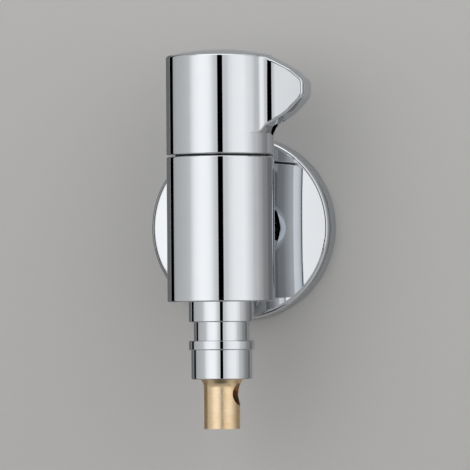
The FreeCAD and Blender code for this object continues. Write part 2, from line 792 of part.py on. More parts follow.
def handle_set_screw():
    start = "(spline_radius + seated_fit)"
    shank = cylinder("handle_set_screw_shank", "set_screw_radius - seated_fit", "set_screw_length",
                     x=start, z=screw_level, along=TO_RIGHT)
    key = hexagon("handle_set_screw_key", "set_screw_key", f"set_screw_key_depth + {PAST}",
                  x=f"{start} + set_screw_length - set_screw_key_depth", z=screw_level, along=TO_RIGHT)
    return cut("handle_set_screw", shank, key)


def nozzle():
    """The hose nipple: the coupling's balls hold in the groove, and its seal rides on the nose."""
    guide = "(stem_guide_radius + running_fit)"
    seated = "(retainer_radius + seated_fit)"
    bite = f"({seated} + retaining_ring_bite)"
    thread = "(nozzle_thread_radius - seated_fit)"
    return turned("nozzle", [
        (guide, nose_level),
        ("nose_radius", nose_level, "nozzle_round"),
        ("nose_radius", ring_level),
        ("collar_radius", ring_level, "nozzle_round"),
        ("collar_radius", groove_level, "nozzle_round"),
        ("groove_radius", groove_level),
        ("groove_radius", collar_level),
        ("collar_radius", collar_level, "nozzle_round"),
        ("collar_radius", barrel_bottom),
        ("nozzle_flange_radius", barrel_bottom),
        ("nozzle_flange_radius", recess_level),
        ("nozzle_thread_radius - nozzle_undercut", recess_level),
        ("nozzle_thread_radius - nozzle_undercut", undercut_level),
        (thread, undercut_level),
        (thread, nozzle_top),
        (seated, nozzle_top),
        (seated, ring_top),
        (bite, ring_top),
        (bite, retainer_top),
        (seated, retainer_top),
        (seated, retainer_level),
        ("stopper_chamber_radius", retainer_level),
        ("stopper_chamber_radius", stopper_seat),
        (guide, stopper_seat),
    ])


def nozzle_o_ring():
    inner = "(nozzle_thread_radius - nozzle_undercut)"
    return ring_of_cord("nozzle_o_ring", inner, "nozzle_thread_radius",
                        f"{recess_level} + nozzle_undercut / 2")


def spring_retainer():
    """The perforated stop above the spring. Water passes through its ring of holes."""
    plate = ring("spring_retainer_plate", "retainer_centre_radius", "retainer_radius", retainer_level,
                 "retainer_height")
    holes = []
    for count in range(RETAINER_HOLES):
        turn = 360 / RETAINER_HOLES * count
        holes.append(cylinder(
            f"spring_retainer_hole_{count + 1}", "retainer_hole_radius", f"retainer_height + {2 * PAST}",
            x=f"retainer_hole_circle * cos({turn})", y=f"retainer_hole_circle * sin({turn})",
            z=f"{retainer_level} - {PAST}",
        ))
    return cut("spring_retainer", plate, *holes)


def retaining_ring():
    outer = "(retainer_radius + retaining_ring_bite)"
    return open_ring("retaining_ring", f"({outer} - retaining_ring_width)", outer, retainer_top,
                     "retaining_ring_height", "retaining_ring_gap")


def stopper_spring():
    start = f"{washer_top} + spring_wire / 2 + running_fit"
    rise = f"({retainer_level} - {washer_top} - spring_wire - 2 * running_fit)"
    coil = doc.addObject("Part::Helix", "stopper_spring_coil")
    bind(coil, Radius="spring_radius", Height=rise, Pitch=f"{rise} / spring_turns")
    place(coil, z=start)
    wire = doc.addObject("Part::Circle", "stopper_spring_wire")
    bind(wire, Radius="spring_wire / 2")
    place(wire, x="spring_radius", z=start, along=Rotation(Vector(1, 0, 0), 90))
    spring = doc.addObject("Part::Sweep", "stopper_spring")
    spring.Sections = [wire]
    doc.recompute()
    spring.Spine = (coil, [f"Edge{count}" for count in range(1, len(coil.Shape.Edges) + 1)])
    spring.Solid = True
    spring.Frenet = True
    return spring


def stopper_stem():
    """The turned brass plunger. Its tube carries the water out, and the hose coupling pushes it up."""
    flare_end = f"({nose_level} - stem_flare)"
    blank = turned("stopper_stem_blank", [
        ("0", stem_bottom),
        ("stem_radius", stem_bottom),
        ("stem_radius", flare_end, "stem_flare_round"),
        ("stem_guide_radius", nose_level),
        ("stem_guide_radius", stopper_seat),
        ("0", stopper_seat),
    ])
    head_level = f"({stopper_seat} - stem_head_height)"
    bore = cylinder("stopper_stem_bore", "stem_bore_radius", f"{head_level} - {stem_bottom} + {PAST}",
                    z=f"{stem_bottom} - {PAST}")
    window_level = f"{head_level} - stem_window_height"
    across = f"2 * stem_guide_radius + {PAST}"
    windows = [
        block("stopper_stem_window_x", across, "stem_window_width", "stem_window_height", z=window_level),
        block("stopper_stem_window_y", "stem_window_width", across, "stem_window_height", z=window_level),
    ]
    side_hole = cylinder("stopper_stem_side_hole", "side_hole_radius", f"stem_radius + {PAST}",
                         z=f"{nose_level} - side_hole_below_nose", along=TO_RIGHT)
    tapped_hole = cylinder("stopper_stem_tapped_hole", "stopper_screw_radius",
                           f"stem_head_height + {2 * PAST}",
                           z=f"{head_level} - {PAST}")
    return cut("stopper_stem", blank, bore, side_hole, tapped_hole, *windows)


def stopper_seal():
    return ring("stopper_seal", "stopper_screw_radius", "seal_radius", stopper_seat, "seal_height")


def stopper_washer():
    return ring("stopper_washer", "stopper_screw_radius", "stopper_washer_radius", washer_level,
                "stopper_washer_height")


def stopper_screw():
    shank = cylinder("stopper_screw_shank", "stopper_screw_radius - seated_fit",
                     f"stopper_screw_length + {PAST}",
                     z=f"{washer_top} - stopper_screw_length")
    head = cylinder("stopper_screw_head", "stopper_screw_head_radius", "stopper_screw_head_height",
                    z=washer_top)
    head_top = f"({washer_top} + stopper_screw_head_height)"
    slot = block("stopper_screw_driver_slot", "2 * stopper_screw_head_radius + 1", "stopper_screw_slot",
                 "stopper_screw_head_height", z=f"{head_top} - stopper_screw_head_height / 2")
    return cut("stopper_screw", fuse("stopper_screw_blank", shank, head), slot)


ON_BARREL = [
    valve_body, cartridge_housing, housing_o_ring, seat_seal, fixed_disc, glide_ring, thrust_washer,
    rotating_disc, spindle, spindle_o_ring_lower, spindle_o_ring_upper, spindle_clip,
    handle, handle_set_screw,
    nozzle, nozzle_o_ring, spring_retainer, retaining_ring, stopper_spring,
    stopper_stem, stopper_seal, stopper_washer, stopper_screw,
]
ON_WALL = [wall_flange, flange_grip_ring, flange_gasket]

pieces = {}
for make in ON_BARREL:
    piece = make()
    piece.setExpression("Placement.Base.y", formula("-axis_to_wall"))
    pieces[make.__name__] = piece
for make in ON_WALL:
    pieces[make.__name__] = place(make(), along=TO_WALL)
doc.recompute()

for item in doc.Objects:
    if "Invalid" in item.State or "Error" in item.State:
        raise RuntimeError(f"{item.Name} did not build: {item.State}")
for name, piece in pieces.items():
    shape = piece.Shape
    if shape.isNull() or not shape.isValid() or len(shape.Solids) != 1:
        raise RuntimeError(f"{name} is not one valid solid")

os.makedirs("parts", exist_ok=True)
for name, piece in pieces.items():
    piece.Shape.exportStep(f"parts/{name}.step")
    box = piece.Shape.BoundBox
    print(f"{name}: {piece.Shape.Volume:.1f} mm3, x {box.XMin:.2f} {box.XMax:.2f}, "
          f"y {box.YMin:.2f} {box.YMax:.2f}, z {box.ZMin:.2f} {box.ZMax:.2f}")
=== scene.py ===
import json
import math

import bpy
from mathutils import Matrix, Vector


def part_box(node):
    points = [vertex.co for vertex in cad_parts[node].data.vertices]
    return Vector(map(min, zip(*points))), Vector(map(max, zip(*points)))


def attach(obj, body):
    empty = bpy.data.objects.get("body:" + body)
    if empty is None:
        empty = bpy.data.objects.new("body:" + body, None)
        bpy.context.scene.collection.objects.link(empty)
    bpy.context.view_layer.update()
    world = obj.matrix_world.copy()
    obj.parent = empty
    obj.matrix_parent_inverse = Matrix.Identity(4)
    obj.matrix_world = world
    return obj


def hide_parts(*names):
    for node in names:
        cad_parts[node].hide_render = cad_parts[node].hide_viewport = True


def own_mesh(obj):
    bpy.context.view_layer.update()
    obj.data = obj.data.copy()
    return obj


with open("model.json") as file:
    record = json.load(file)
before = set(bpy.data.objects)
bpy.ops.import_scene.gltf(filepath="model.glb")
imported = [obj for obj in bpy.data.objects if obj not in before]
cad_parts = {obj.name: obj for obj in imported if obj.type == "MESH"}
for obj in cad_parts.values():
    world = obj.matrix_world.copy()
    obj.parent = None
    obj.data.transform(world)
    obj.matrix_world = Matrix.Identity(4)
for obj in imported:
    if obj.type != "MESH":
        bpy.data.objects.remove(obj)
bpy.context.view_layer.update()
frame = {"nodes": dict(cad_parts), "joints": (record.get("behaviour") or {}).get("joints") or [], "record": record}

nodes = frame["nodes"]
joints = {joint["name"]: joint for joint in frame["joints"]}
mounts = {mount["name"]: mount for mount in frame["record"]["mounts"]}
scene = bpy.context.scene
mm = 0.001

# Camera
# A long lens a little to the valve's right and just below its middle, as the photograph was taken.
# It is turned a hair about its own axis, because the valve leans by that much in the picture.
barrel_axis = Vector(joints["handle_turn"]["pos_m"])
camera_azimuth = math.radians(14.0)
camera_distance = 1.4
eye_level = -27.0 * mm
aim_right, aim_level = 4.2 * mm, -2.6 * mm
camera_roll = math.radians(-0.43)
to_camera = Vector((math.sin(camera_azimuth), -math.cos(camera_azimuth), 0.0))
camera_right = Vector((math.cos(camera_azimuth), math.sin(camera_azimuth), 0.0))
looks_at = barrel_axis + camera_right * aim_right + Vector((0.0, 0.0, aim_level))
lens = bpy.data.cameras.new("camera")
lens.sensor_width = 36.0
lens.lens = 361.0
lens.clip_start = 0.05
lens.clip_end = 20.0
camera = bpy.data.objects.new("camera", lens)
scene.collection.objects.link(camera)
camera.location = barrel_axis + to_camera * camera_distance + Vector((0.0, 0.0, eye_level))
aim = (looks_at - camera.location).to_track_quat("-Z", "Y")
camera.rotation_euler = (aim.to_matrix() @ Matrix.Rotation(camera_roll, 3, "Z")).to_euler()
scene.camera = camera

# Studio
# A grey wall that the valve is screwed to, a pale floor below, and a curved screen of soft light round the
# front. The screen has a narrow dark gap in the camera's direction, which chrome shows as a black stripe.
# Small cards near the valve show only in its reflections: they shade its edges and light its rims.
scene.view_settings.view_transform = "Standard"
studio_air = bpy.data.worlds.new("studio_air")
scene.world = studio_air
studio_air.use_nodes = True
air_colour = (0.64, 0.655, 0.67, 1.0)
studio_air.node_tree.nodes["Background"].inputs["Color"].default_value = air_colour
studio_air.node_tree.nodes["Background"].inputs["Strength"].default_value = 1.0
wall_grey = (0.63, 0.622, 0.612, 1.0)
floor_grey = (0.60, 0.60, 0.59, 1.0)
wall_gap = 0.2 * mm
wall_reach = 3.0
wall_hole = 24.0 * mm
wall_hole_sides = 96
floor_level = -0.14
floor_width = 4.0
screen_radius = 0.9
screen_low, screen_high = -0.9, 1.1
screen_facets = 1440
# The screen's light by bearing from the front towards the valve's right, in degrees
screen_light = [
    (-125, 0.52), (-104, 0.54), (-83, 0.57), (-68, 0.62), (-60, 0.66), (-55, 0.71), (-50, 0.90), (-45, 1.07),
    (-40, 1.17), (-31, 1.26), (-22, 1.28), (-13, 1.24), (-9, 1.18), (-5, 1.07), (-0.5, 0.88), (3.7, 0.77),
    (8.2, 0.70), (8.7, 0.0), (19.2, 0.0), (19.8, 0.75), (25, 0.76), (29, 0.82), (33, 0.96), (37.5, 1.03),
    (42, 1.10), (50, 1.14), (64, 1.17), (69, 1.10), (73.5, 1.03), (78, 0.94), (83, 0.86), (88, 0.77),
    (125, 0.70),
]
# The side cards' light by bearing. The left card ends in a black strip. Within the opening there is no card.
card_light = [
    (-107, 0.0), (-92.8, 0.0), (-92.3, 0.46), (-87, 0.51), (-80, 0.55), (-77, 0.57), (77, 0.76), (79, 0.72),
    (84, 0.64), (89, 0.62), (94, 0.51), (100, 0.45), (106, 0.33), (113, 0.29), (122, 0.27),
]
card_opening = 76.5
card_radius = 58.0 * mm
card_height = 0.6
# A card overhead lights the upper rims, and a grey one on the floor shades the lower edges.
top_card_level, top_card_light = 1.0, 1.5
top_card_width, top_card_out = 1.1, 0.75
low_card_level, low_card_tone = -0.135, (0.11, 0.11, 0.11, 1.0)
low_card_radius, low_card_out = 50.0 * mm, 80.0 * mm
low_card_sides = 64
# The shade cards lie against the wall, one each side: how far out, and from which level to which
shade_cards = [(-52.0 * mm, -95.0 * mm, 75.0 * mm), (52.0 * mm, -95.0 * mm, 22.0 * mm)]
shade_card_width = 46.0 * mm
shade_card_gap = 0.5 * mm
shade_card_light = 0.19


def link(tree, source, target):
    """Joins one node's output to another node's input."""
    tree.links.new(source, target)


def stage_finish(name, shader):
    """A material of one shader, for what stands round the valve."""
    finish = bpy.data.materials.new(name)
    finish.use_nodes = True
    tree = finish.node_tree
    tree.nodes.clear()
    surface = tree.nodes.new(shader)
    output = tree.nodes.new("ShaderNodeOutputMaterial")
    link(tree, surface.outputs[0], output.inputs["Surface"])
    return finish, tree, surface, output


def name_last_added(name, finish):
    """Names the object that an operator has just added, and gives it its material."""
    added = bpy.context.object
    added.name = name
    added.data.name = name
    added.data.materials.clear()
    added.data.materials.append(finish)
    return added


def painted(name, colour):
    """Matt paint on the side that faces the valve. From behind it is clear, so that it hides nothing."""
    finish, tree, paint, output = stage_finish(name, "ShaderNodeBsdfPrincipled")
    paint.inputs["Base Color"].default_value = colour
    paint.inputs["Roughness"].default_value = 0.9
    paint.inputs["Specular IOR Level"].default_value = 0.1
    seen_from = tree.nodes.new("ShaderNodeNewGeometry")
    clear = tree.nodes.new("ShaderNodeBsdfTransparent")
    one_sided = tree.nodes.new("ShaderNodeMixShader")
    link(tree, seen_from.outputs["Backfacing"], one_sided.inputs["Fac"])
    link(tree, paint.outputs["BSDF"], one_sided.inputs[1])
    link(tree, clear.outputs["BSDF"], one_sided.inputs[2])
    link(tree, one_sided.outputs["Shader"], output.inputs["Surface"])
    return finish


bpy.ops.mesh.primitive_circle_add(
    vertices=wall_hole_sides, radius=wall_hole,
    location=(0.0, wall_gap, 0.0), rotation=(math.radians(90), 0.0, 0.0),
)
wall = name_last_added("studio_wall", painted("studio_wall", wall_grey))
bpy.ops.object.mode_set(mode="EDIT")
bpy.ops.mesh.select_all(action="SELECT")
bpy.ops.mesh.extrude_edges_move()
bpy.ops.transform.resize(value=(wall_reach / wall_hole, 1.0, wall_reach / wall_hole))
bpy.ops.mesh.select_all(action="SELECT")
bpy.ops.mesh.normals_make_consistent(inside=False)
bpy.ops.object.mode_set(mode="OBJECT")
# The wall's own Z points at the valve, and the painted side has to face that way.
if wall.data.polygons[0].normal.z < 0:
    wall.data.flip_normals()

bpy.ops.mesh.primitive_plane_add(size=floor_width, location=(0.0, 0.0, floor_level))
name_last_added("studio_floor", painted("studio_floor", floor_grey))


def light_at(bearing, table):
    """How bright a screen or a card is at a bearing."""
    for (low, dim), (high, bright) in zip(table, table[1:]):
        if low <= bearing <= high:
            return dim + (bright - dim) * (bearing - low) / (high - low)
    return 0.0


def bearing_of(place):
    """The bearing of a place from the front towards the valve's right, in degrees."""
    return math.degrees(math.atan2(place.x, -place.y))


screen_finish, tree, glow, output = stage_finish("light_screen", "ShaderNodeEmission")
level = tree.nodes.new("ShaderNodeAttribute")
level.attribute_name = "brightness"
link(tree, level.outputs["Fac"], glow.inputs["Strength"])


def upright_screen(name, radius, low, high, table):
    """A screen of light about the barrel axis, with its brightness by bearing."""
    bpy.ops.mesh.primitive_cylinder_add(
        vertices=screen_facets, radius=radius, depth=high - low, end_fill_type="NOTHING",
        location=(barrel_axis.x, barrel_axis.y, (low + high) / 2),
    )
    piece = name_last_added(name, screen_finish)
    brightness = piece.data.attributes.new("brightness", "FLOAT", "POINT")
    for vertex, light in zip(piece.data.vertices, brightness.data):
        light.value = light_at(bearing_of(vertex.co), table)
    piece.visible_camera = False
    return piece


upright_screen("light_screen", screen_radius, screen_low, screen_high, screen_light)
cards = upright_screen("light_cards", card_radius, -card_height / 2, card_height / 2, card_light)
bpy.ops.object.mode_set(mode="EDIT")
bpy.ops.mesh.select_mode(type="VERT")
bpy.ops.mesh.select_all(action="DESELECT")
bpy.ops.object.mode_set(mode="OBJECT")
for vertex in cards.data.vertices:
    bearing = bearing_of(vertex.co)
    vertex.select = abs(bearing) < card_opening or bearing < card_light[0][0] or bearing > card_light[-1][0]
bpy.ops.object.mode_set(mode="EDIT")
bpy.ops.mesh.delete(type="VERT")
bpy.ops.object.mode_set(mode="OBJECT")

top_finish, tree, glow, output = stage_finish("top_card", "ShaderNodeEmission")
glow.inputs["Strength"].default_value = top_card_light
bpy.ops.mesh.primitive_plane_add(size=top_card_width, location=(0.0, -top_card_out, top_card_level))
top_card = name_last_added("top_card", top_finish)
low_finish, tree, cloth, output = stage_finish("low_card", "ShaderNodeBsdfDiffuse")
cloth.inputs["Color"].default_value = low_card_tone
bpy.ops.mesh.primitive_circle_add(
    vertices=low_card_sides, radius=low_card_radius, fill_type="NGON",
    location=(0.0, -low_card_out, low_card_level),
)
low_card = name_last_added("low_card", low_finish)
shade_finish, tree, glow, output = stage_finish("shade_card", "ShaderNodeEmission")
glow.inputs["Strength"].default_value = shade_card_light
small_cards = [top_card, low_card]
for out, low, high in shade_cards:
    bpy.ops.mesh.primitive_plane_add(
        size=1.0, location=(out, -shade_card_gap, (low + high) / 2), rotation=(math.radians(90), 0.0, 0.0),
    )
    shade_card = name_last_added("shade_card", shade_finish)
    shade_card.scale = (shade_card_width, high - low, 1.0)
    small_cards.append(shade_card)
for card in (cards, *small_cards):
    card.visible_camera = False
    card.visible_diffuse = False
    card.visible_shadow = False

# Valve body
# One brass casting: the barrel, the inlet leg and the inlet shank. It is polished and plated with chrome.
# The shank carries a half-inch pipe thread, cut with a die, and the bores inside stay bare brass.
chrome_cool = (0.665, 0.690, 0.720, 1.0)
chrome_warm = (0.690, 0.705, 0.725, 1.0)
# The dark brass tone is the lathe rings' and bare bores' own colour, and also paints shade inside the plunger's
# bore.
brass_dark_and_bore_shade = (0.52, 0.24, 0.05, 1.0)
brass_mid = (0.93, 0.70, 0.42, 1.0)
brass_pale = (0.98, 0.79, 0.55, 1.0)
brass_edge = (0.92, 0.66, 0.38, 1.0)
chrome_edge = (0.82, 0.84, 0.87, 1.0)
haze_width = 6.0 * mm
haze_dull_from, haze_dull_to = 0.018, 0.045
swell_width = 14.0 * mm
swell_height = 0.005 * mm
thread_pitch = 1.814 * mm
thread_depth = 1.162 * mm
thread_half_angle = math.radians(27.5)
thread_start = -4.0 * mm
thread_turns = 11
thread_steps = 72
die_proud = 0.02 * mm
shank_radius = mounts["inlet_thread"]["dims"]["r_mm"] * mm
shank_from = -5.0 * mm
leg_root = -16.0 * mm
waterway_edge = 6.1 * mm
plating_edge = 0.1 * mm
weld = 0.001 * mm
smooth_below = math.radians(30)


def surface_finish(name):
    """A new material with a surface shader, and the object's own coordinates to draw patterns with."""
    finish = bpy.data.materials.new(name)
    finish.use_nodes = True
    tree = finish.node_tree
    place = tree.nodes.new("ShaderNodeTexCoord")
    return finish, tree, tree.nodes["Principled BSDF"], place.outputs["Object"]


def grain(tree, place, size, detail=3.0, along=(1.0, 1.0, 1.0)):
    """Uneven grain of about the given size in metres. It is finer along the axes with a larger factor."""
    mapping = tree.nodes.new("ShaderNodeMapping")
    mapping.inputs["Scale"].default_value = along
    noise = tree.nodes.new("ShaderNodeTexNoise")
    noise.inputs["Scale"].default_value = 1.0 / size
    noise.inputs["Detail"].default_value = detail
    link(tree, place, mapping.inputs["Vector"])
    link(tree, mapping.outputs["Vector"], noise.inputs["Vector"])
    return noise.outputs["Fac"]


def spread(tree, source, low, high, source_low=0.3, source_high=0.7):
    """A value that goes from low to high as the source goes through its own range."""
    span = tree.nodes.new("ShaderNodeMapRange")
    span.inputs["From Min"].default_value = source_low
    span.inputs["From Max"].default_value = source_high
    span.inputs["To Min"].default_value = low
    span.inputs["To Max"].default_value = high
    link(tree, source, span.inputs["Value"])
    return span.outputs["Result"]


def two_tone(tree, source, first, second):
    """A colour that goes from the first to the second as the source goes from 0 to 1."""
    mix = tree.nodes.new("ShaderNodeMix")
    mix.data_type = "RGBA"
    link(tree, source, mix.inputs["Factor"])
    colour_sockets = [socket for socket in mix.inputs if socket.type == "RGBA"]
    for socket, colour in zip(colour_sockets, (first, second)):
        if isinstance(colour, tuple):
            socket.default_value = colour
        else:
            link(tree, colour, socket)
    return next(socket for socket in mix.outputs if socket.type == "RGBA")


def raise_surface(tree, source, surface, height):
    """Raises the surface by up to a height in metres where the source is high."""
    bump = tree.nodes.new("ShaderNodeBump")
    bump.inputs["Strength"].default_value = 1.0
    bump.inputs["Distance"].default_value = height
    link(tree, source, bump.inputs["Height"])
    link(tree, bump.outputs["Normal"], surface.inputs["Normal"])


def from_axis(tree, place, centre, across):
    """The distance from an axis through a centre. The axis is the direction that across leaves out."""
    shift = tree.nodes.new("ShaderNodeMapping")
    shift.inputs["Location"].default_value = [-a * b for a, b in zip(centre, across)]
    shift.inputs["Scale"].default_value = across
    length = tree.nodes.new("ShaderNodeVectorMath")
    length.operation = "LENGTH"
    link(tree, place, shift.inputs["Vector"])
    link(tree, shift.outputs["Vector"], length.inputs[0])
    return length.outputs["Value"]


def along_axis(tree, place, axis):
    """The place along X, Y or Z."""
    split = tree.nodes.new("ShaderNodeSeparateXYZ")
    link(tree, place, split.inputs["Vector"])
    return split.outputs[axis]


def combine(tree, operation, first, second):
    """One value worked out from two."""
    node = tree.nodes.new("ShaderNodeMath")
    node.operation = operation
    link(tree, first, node.inputs[0])
    link(tree, second, node.inputs[1])
    return node.outputs["Value"]


def chrome_plate(name):
    """Polished chrome: a mirror with the faint swell of a buffed surface and patches of less shine."""
    finish, tree, metal, place = surface_finish(name)
    haze = grain(tree, place, haze_width, detail=6.0)
    tone = two_tone(tree, spread(tree, haze, 0.0, 1.0), chrome_cool, chrome_warm)
    sheen = spread(tree, haze, haze_dull_from, haze_dull_to)
    link(tree, tone, metal.inputs["Base Color"])
    link(tree, sheen, metal.inputs["Roughness"])
    metal.inputs["Metallic"].default_value = 1.0
    metal.inputs["Specular Tint"].default_value = chrome_edge
    raise_surface(tree, grain(tree, place, swell_width, detail=1.0), metal, swell_height)
    return finish, tree, metal, place, tone, sheen


def pick(piece):
    """Makes a piece the only one selected, and the active one."""
    bpy.ops.object.select_all(action="DESELECT")
    piece.select_set(True)
    bpy.context.view_layer.objects.active = piece


def merged_copy(node, name):
    """A node's mesh as an object of its own, with its doubles merged, that remembers each corner's normal."""
    mesh = nodes[node].data.copy()
    mesh.name = name
    remembered = mesh.attributes.new("true_normal", "FLOAT_VECTOR", "CORNER")
    for corner, normal in zip(remembered.data, mesh.corner_normals):
        corner.vector = normal.vector
    piece = bpy.data.objects.new(name, mesh)
    scene.collection.objects.link(piece)
    pick(piece)
    bpy.ops.object.mode_set(mode="EDIT")
    bpy.ops.mesh.select_all(action="SELECT")
    bpy.ops.mesh.remove_doubles(threshold=weld)
    bpy.ops.object.mode_set(mode="OBJECT")
    return piece


def recall_normals(piece):
    """Gives each corner the normal that it had in the frame. New faces keep those of their own."""
    mesh = piece.data
    remembered = mesh.attributes["true_normal"]
    normals = []
    for corner, own in zip(remembered.data, mesh.corner_normals):
        kept = Vector(corner.vector)
        normals.append(kept.normalized() if kept.length > 0.5 else own.vector.copy())
    mesh.normals_split_custom_set(normals)
    mesh.attributes.remove(mesh.attributes["true_normal"])


def wind(piece, axis, pitch, turns, steps):
    """Winds a flat outline into a screw thread or a groove, and closes its two ends."""
    pick(piece)
    winding = piece.modifiers.new("winding", "SCREW")
    winding.axis = axis
    winding.angle = math.radians(360)
    winding.screw_offset = pitch
    winding.iterations = turns
    winding.steps = steps
    winding.render_steps = steps
    bpy.ops.object.modifier_apply(modifier="winding")
    bpy.ops.object.mode_set(mode="EDIT")
    bpy.ops.mesh.select_all(action="SELECT")
    bpy.ops.mesh.fill_holes(sides=0)
    bpy.ops.mesh.select_all(action="SELECT")
    bpy.ops.mesh.normals_make_consistent(inside=False)
    bpy.ops.object.mode_set(mode="OBJECT")


body = merged_copy("valve_body", "plated_body")
bpy.ops.object.select_all(action="DESELECT")
bpy.ops.mesh.primitive_circle_add(vertices=3, radius=thread_depth)
die = bpy.context.object
die_half_width = (thread_depth + die_proud) * math.tan(thread_half_angle)
die_outline = (
    (shank_radius - thread_depth, thread_start),
    (shank_radius + die_proud, thread_start - die_half_width),
    (shank_radius + die_proud, thread_start + die_half_width),
)
for vertex, (radius, level) in zip(die.data.vertices, die_outline):
    vertex.co = (radius, level, 0.0)
wind(die, "Y", thread_pitch, thread_turns, thread_steps)
pick(body)
threading = body.modifiers.new("threading", "BOOLEAN")
threading.operation = "DIFFERENCE"
threading.solver = "EXACT"
threading.object = die
bpy.ops.object.modifier_apply(modifier="threading")
bpy.data.objects.remove(die)
bpy.ops.object.shade_smooth_by_angle(angle=smooth_below)
recall_normals(body)

body_finish, tree, metal, place, tone, sheen = chrome_plate("chrome_on_casting")
reach_back = along_axis(tree, place, "Y")
from_inlet = from_axis(tree, place, (0.0, 0.0, 0.0), (1.0, 0.0, 1.0))
in_bore = spread(tree, from_inlet, 1.0, 0.0, waterway_edge, waterway_edge + plating_edge)
behind_barrel = spread(tree, reach_back, 0.0, 1.0, leg_root, leg_root + plating_edge)
bare = combine(tree, "MULTIPLY", in_bore, behind_barrel)
bath_grain = grain(tree, place, 2.5 * mm, detail=3.0)
raw_brass = two_tone(tree, spread(tree, bath_grain, 0.0, 1.0), brass_dark_and_bore_shade, brass_mid)
link(tree, two_tone(tree, bare, tone, raw_brass), metal.inputs["Base Color"])
on_shank = spread(tree, reach_back, 0.0, 1.0, shank_from - 2 * plating_edge, shank_from)
dull = combine(tree, "MULTIPLY", on_shank, spread(tree, bath_grain, 0.15, 0.21))
link(tree, combine(tree, "MAXIMUM", dull, sheen), metal.inputs["Roughness"])
body.data.materials.clear()
body.data.materials.append(body_finish)
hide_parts("valve_body")
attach(body, "fixed")

# Wall flange
# A round cover of thin brass sheet, spun over a former, buffed on its outside and plated. Its inside stays
# dull. A rubber ring in its neck grips the inlet leg, and a foam ring lies between its rim and the wall.
rubber_black = (0.012, 0.012, 0.013, 1.0)
rubber_grey = (0.028, 0.028, 0.029, 1.0)
# The darker foam tone is painted shade at the bottoms of the foam's cells.
foam_pit_shade = (0.018, 0.018, 0.020, 1.0)
foam_grey = (0.060, 0.060, 0.064, 1.0)


def give_finish(names, finish):
    """Gives nodes of the valve their finish."""
    for name in names:
        nodes[name].data.materials.clear()
        nodes[name].data.materials.append(finish)


flange_finish, tree, metal, place, tone, sheen = chrome_plate("chrome_on_spinning")
towards_wall = along_axis(tree, place.node.outputs["Normal"], "Y")
inside = spread(tree, towards_wall, 0.0, 1.0, 0.3, 0.5)
lathe_marks = grain(tree, place, 1.5 * mm, detail=4.0)
dull = combine(tree, "MULTIPLY", inside, spread(tree, lathe_marks, 0.24, 0.42))
link(tree, combine(tree, "MAXIMUM", dull, sheen), metal.inputs["Roughness"])
give_finish(["wall_flange"], flange_finish)

rubber_finish, tree, rubber, place = surface_finish("moulded_rubber")
bloom = grain(tree, place, 1.2 * mm, detail=5.0)
tone = two_tone(tree, spread(tree, bloom, 0.0, 1.0), rubber_black, rubber_grey)
link(tree, tone, rubber.inputs["Base Color"])
link(tree, spread(tree, bloom, 0.48, 0.72), rubber.inputs["Roughness"])
raise_surface(tree, grain(tree, place, 0.12 * mm, detail=3.0), rubber, 0.006 * mm)
give_finish(["flange_grip_ring"], rubber_finish)

foam_finish, tree, foam, place = surface_finish("closed_cell_foam")
cells = tree.nodes.new("ShaderNodeTexVoronoi")
cells.inputs["Scale"].default_value = 1.0 / (0.35 * mm)
link(tree, place, cells.inputs["Vector"])
# Painted shade: each cell is painted darker towards its bottom, by the same depth that the bump sinks it.
cell_depth = spread(tree, cells.outputs["Distance"], 0.0, 1.0, 0.0, 0.7)
link(tree, two_tone(tree, cell_depth, foam_pit_shade, foam_grey), foam.inputs["Base Color"])
foam.inputs["Roughness"].default_value = 0.92
raise_surface(tree, cell_depth, foam, 0.05 * mm)
give_finish(["flange_gasket"], foam_finish)

# Cartridge
# A brass housing with a hexagon is screwed into the barrel's top and sealed by an O-ring. In it a turned
# spindle drives a ceramic disc over a fixed one. Both are lapped flat, and rubber seals them to the seat.
ceramic_white = (0.84, 0.83, 0.79, 1.0)
ceramic_cream = (0.76, 0.74, 0.69, 1.0)
acetal_black = (0.014, 0.014, 0.015, 1.0)
acetal_sheen = (0.026, 0.026, 0.028, 1.0)
acetal_white = (0.82, 0.82, 0.80, 1.0)
acetal_shade = (0.74, 0.74, 0.71, 1.0)
steel_bright = (0.62, 0.615, 0.60, 1.0)
steel_dim = (0.50, 0.495, 0.485, 1.0)


def turned_brass(name, ring_width):
    """Bare brass off the lathe: fine rings round the axis, with a little tarnish in patches."""
    finish, tree, metal, place = surface_finish(name)
    rings = grain(tree, place, ring_width, detail=2.0, along=(0.03, 0.03, 1.0))
    tarnish = grain(tree, place, 3.5 * mm, detail=5.0)
    tone = two_tone(tree, spread(tree, tarnish, 0.0, 1.0), brass_pale, brass_mid)
    tone = two_tone(tree, spread(tree, rings, 0.0, 0.12), tone, brass_dark_and_bore_shade)
    link(tree, tone, metal.inputs["Base Color"])
    link(tree, spread(tree, rings, 0.26, 0.36), metal.inputs["Roughness"])
    metal.inputs["Metallic"].default_value = 1.0
    metal.inputs["Specular Tint"].default_value = brass_edge
    raise_surface(tree, rings, metal, 0.002 * mm)
    return finish, tree, metal, place, tone


def moulded_acetal(name, tone_a, tone_b):
    """Moulded acetal: a waxy surface with the fine grain of its mould."""
    finish, tree, plastic, place = surface_finish(name)
    flow = grain(tree, place, 2.0 * mm, detail=4.0)
    link(tree, two_tone(tree, spread(tree, flow, 0.0, 1.0), tone_a, tone_b), plastic.inputs["Base Color"])
    link(tree, spread(tree, flow, 0.30, 0.44), plastic.inputs["Roughness"])
    raise_surface(tree, grain(tree, place, 0.10 * mm, detail=2.0), plastic, 0.003 * mm)
    return finish


def drawn_steel(name, along):
    """Stainless steel with the fine lines of drawing or rolling."""
    finish, tree, metal, place = surface_finish(name)
    lines = grain(tree, place, 0.2 * mm, detail=4.0, along=along)
    tone = two_tone(tree, spread(tree, lines, 0.0, 1.0), steel_bright, steel_dim)
    link(tree, tone, metal.inputs["Base Color"])
    link(tree, spread(tree, lines, 0.20, 0.36), metal.inputs["Roughness"])
    metal.inputs["Metallic"].default_value = 1.0
    raise_surface(tree, lines, metal, 0.003 * mm)
    return finish


